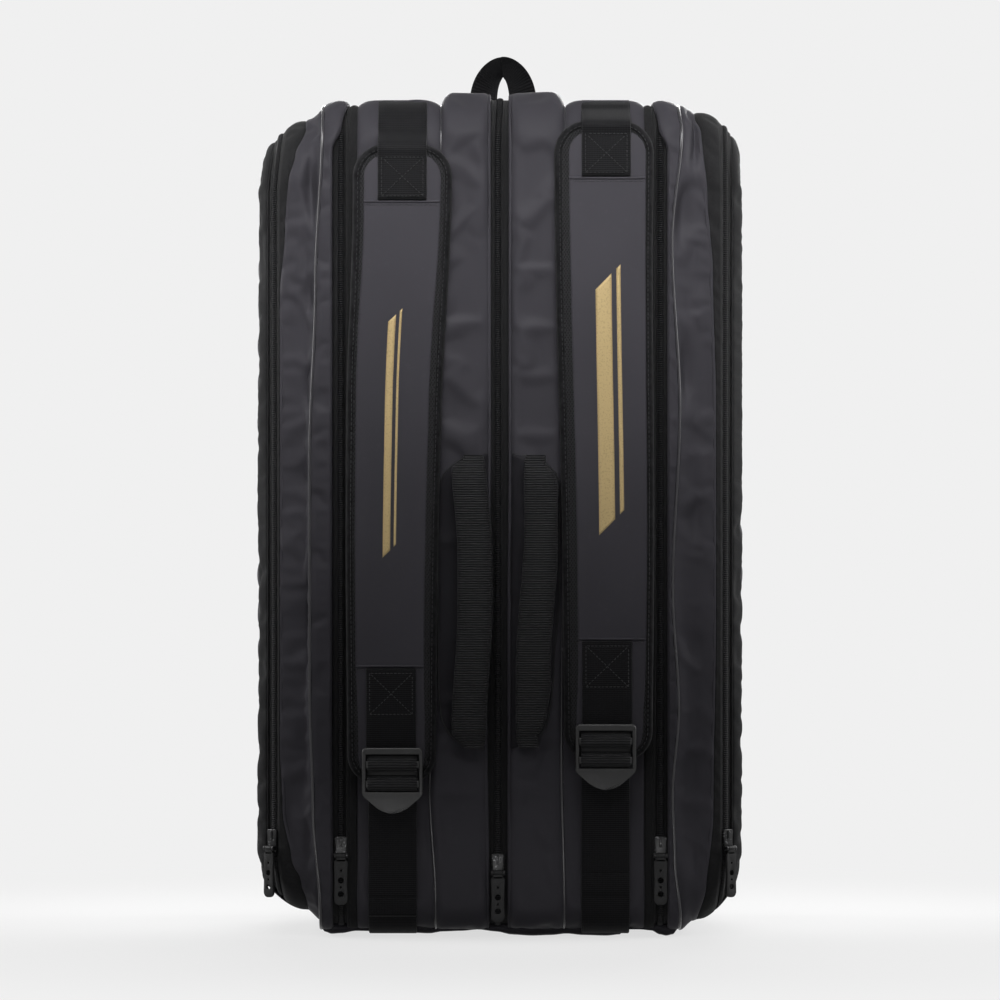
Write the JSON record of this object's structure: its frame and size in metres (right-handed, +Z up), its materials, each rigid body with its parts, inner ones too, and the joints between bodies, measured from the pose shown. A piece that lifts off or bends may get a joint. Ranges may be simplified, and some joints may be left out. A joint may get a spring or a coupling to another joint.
{
  "type": "racket bag",
  "caption": "Upright padded racket bag with side-by-side zipped compartments, flank pockets, shoulder straps, grips and a haul loop",
  "frame": {"origin": "middle of the base the bag stands on, midway between its flanks and between the strap face's and the rear face's seams", "axes": "+Z up along the bag's length, +X to the right as seen from the strap face, -Y out of the zipped strap face"},
  "size_m": [0.452, 0.3641, 0.8335],
  "materials": {
    "coated_fabric": "matt soft-touch coating on a heavy fabric, faintly grained",
    "strap_face_coating": "matt soft-touch coating, smooth",
    "quilted_fabric": "coated fabric over foam, sewn in channels",
    "gusset_nylon": "plain woven nylon",
    "lining_fabric": "woven polyester lining",
    "base_moulding": "matt moulded sheet with a fine texture",
    "stiffener_board": "plain sheet",
    "piping_cover": "coated tape round a cord, slightly glossy",
    "zip_tape": "twill tape with a nylon coil",
    "slider_metal": "black enamel on cast zinc, semi-gloss",
    "pull_rubber": "matt moulded rubber",
    "grip_webbing": "ribbed padded webbing",
    "strap_mesh": "spacer mesh with a woven binding",
    "buckle_plastic": "moulded acetal, satin",
    "webbing": "ribbed polyester webbing"
  },
  "bodies": {
    "bag": {"center_panel_left": "coated_fabric", "center_panel_right": "coated_fabric", "strap_panel_left": "coated_fabric", "strap_panel_right": "coated_fabric", "side_strip_left": "coated_fabric", "side_strip_right": "coated_fabric", "rear_panel_center": "coated_fabric", "rear_panel_left": "coated_fabric", "rear_panel_right": "coated_fabric", "base_panel": "base_moulding", "base_board": "stiffener_board", "divider_left": "lining_fabric", "divider_right": "lining_fabric", "pocket_wall_left": "lining_fabric", "pocket_wall_right": "lining_fabric", "pocket_front_left": "coated_fabric", "pocket_front_right": "coated_fabric", "pocket_gusset_left": "gusset_nylon", "pocket_gusset_right": "gusset_nylon", "pocket_rear_left": "coated_fabric", "pocket_rear_right": "coated_fabric", "flank_panel_left": "quilted_fabric", "flank_panel_right": "quilted_fabric", "inner_piping_left": "piping_cover", "inner_piping_right": "piping_cover", "outer_piping_left": "piping_cover", "outer_piping_right": "piping_cover", "center_zip": "zip_tape", "inner_zip_left": "zip_tape", "inner_zip_right": "zip_tape", "pocket_zip_left": "zip_tape", "pocket_zip_right": "zip_tape", "grip_patches": "coated_fabric", "strap_anchors": "webbing", "strap_tail_left": "webbing", "strap_tail_right": "webbing"},
    "center_slider": {"center_slider": "slider_metal"},
    "center_pull": {"center_pull": "pull_rubber"},
    "inner_slider_left": {"inner_slider_left": "slider_metal"},
    "inner_pull_left": {"inner_pull_left": "pull_rubber"},
    "inner_slider_right": {"inner_slider_right": "slider_metal"},
    "inner_pull_right": {"inner_pull_right": "pull_rubber"},
    "pocket_slider_left": {"pocket_slider_left": "slider_metal"},
    "pocket_pull_left": {"pocket_pull_left": "pull_rubber"},
    "pocket_slider_right": {"pocket_slider_right": "slider_metal"},
    "pocket_pull_right": {"pocket_pull_right": "pull_rubber"},
    "strap_left": {"strap_pad_left": "strap_mesh", "strap_face_left": "strap_face_coating", "upper_web_left": "webbing", "lower_web_left": "webbing"},
    "buckle_left": {"buckle_left": "buckle_plastic"},
    "strap_right": {"strap_pad_right": "strap_mesh", "strap_face_right": "strap_face_coating", "upper_web_right": "webbing", "lower_web_right": "webbing"},
    "buckle_right": {"buckle_right": "buckle_plastic"},
    "grip_left": {"grip_left": "grip_webbing"},
    "grip_right": {"grip_right": "grip_webbing"},
    "haul_loop": {"haul_loop": "webbing"}
  },
  "joints": [
    {"name": "center_slider_slide", "type": "slide", "parent": "bag", "child": "center_slider", "axis": [0, 0, 1], "range_m": [0, 0.655]},
    {"name": "center_pull_swing", "type": "hinge", "parent": "center_slider", "child": "center_pull", "pos_m": [0, -0.16895, 0.061], "axis": [-1, 0, 0], "range_deg": [0, 135]},
    {"name": "inner_slider_left_slide", "type": "slide", "parent": "bag", "child": "inner_slider_left", "axis": [0, 0, 1], "range_m": [0, 0.64]},
    {"name": "inner_pull_left_swing", "type": "hinge", "parent": "inner_slider_left", "child": "inner_pull_left", "pos_m": [-0.15, -0.16895, 0.077], "axis": [-1, 0, 0], "range_deg": [0, 135]},
    {"name": "inner_slider_right_slide", "type": "slide", "parent": "bag", "child": "inner_slider_right", "axis": [0, 0, 1], "range_m": [0, 0.64]},
    {"name": "inner_pull_right_swing", "type": "hinge", "parent": "inner_slider_right", "child": "inner_pull_right", "pos_m": [0.15, -0.16895, 0.077], "axis": [-1, 0, 0], "range_deg": [0, 135]},
    {"name": "pocket_slider_left_slide", "type": "slide", "parent": "bag", "child": "pocket_slider_left", "axis": [0, 0, 1], "range_m": [0, 0.6]},
    {"name": "pocket_pull_left_swing", "type": "hinge", "parent": "pocket_slider_left", "child": "pocket_pull_left", "pos_m": [-0.21591, -0.14791, 0.083], "axis": [-0.7071, 0.7071, 0], "range_deg": [0, 135]},
    {"name": "pocket_slider_right_slide", "type": "slide", "parent": "bag", "child": "pocket_slider_right", "axis": [0, 0, 1], "range_m": [0, 0.6]},
    {"name": "pocket_pull_right_swing", "type": "hinge", "parent": "pocket_slider_right", "child": "pocket_pull_right", "pos_m": [0.21591, -0.14791, 0.083], "axis": [-0.7071, -0.7071, 0], "range_deg": [0, 135]},
    {"name": "strap_left_swing", "type": "hinge", "parent": "bag", "child": "strap_left", "pos_m": [-0.097, -0.16965, 0.752], "axis": [-1, 0, 0], "range_deg": [0, 10]},
    {"name": "buckle_left_tilt", "type": "hinge", "parent": "strap_left", "child": "buckle_left", "pos_m": [-0.097, -0.18645, 0.1755], "axis": [-1, 0, 0], "range_deg": [0, 60]},
    {"name": "strap_right_swing", "type": "hinge", "parent": "bag", "child": "strap_right", "pos_m": [0.097, -0.15415, 0.774], "axis": [-1, 0, 0], "range_deg": [0, 10]},
    {"name": "buckle_right_tilt", "type": "hinge", "parent": "strap_right", "child": "buckle_right", "pos_m": [0.097, -0.18645, 0.1975], "axis": [-1, 0, 0], "range_deg": [0, 60]},
    {"name": "grip_left_lift", "type": "hinge", "parent": "bag", "child": "grip_left", "pos_m": [-0.0135, -0.1755, 0.317], "axis": [0, 0, 1], "range_deg": [0, 60]},
    {"name": "grip_right_lift", "type": "hinge", "parent": "bag", "child": "grip_right", "pos_m": [0.0135, -0.1755, 0.317], "axis": [0, 0, -1], "range_deg": [0, 60]},
    {"name": "haul_loop_fold", "type": "hinge", "parent": "bag", "child": "haul_loop", "pos_m": [0.003, 0.014, 0.7875], "axis": [1, 0, 0], "range_deg": [-60, 60], "stiffness_Nm_per_rad": 0.02}
  ]
}
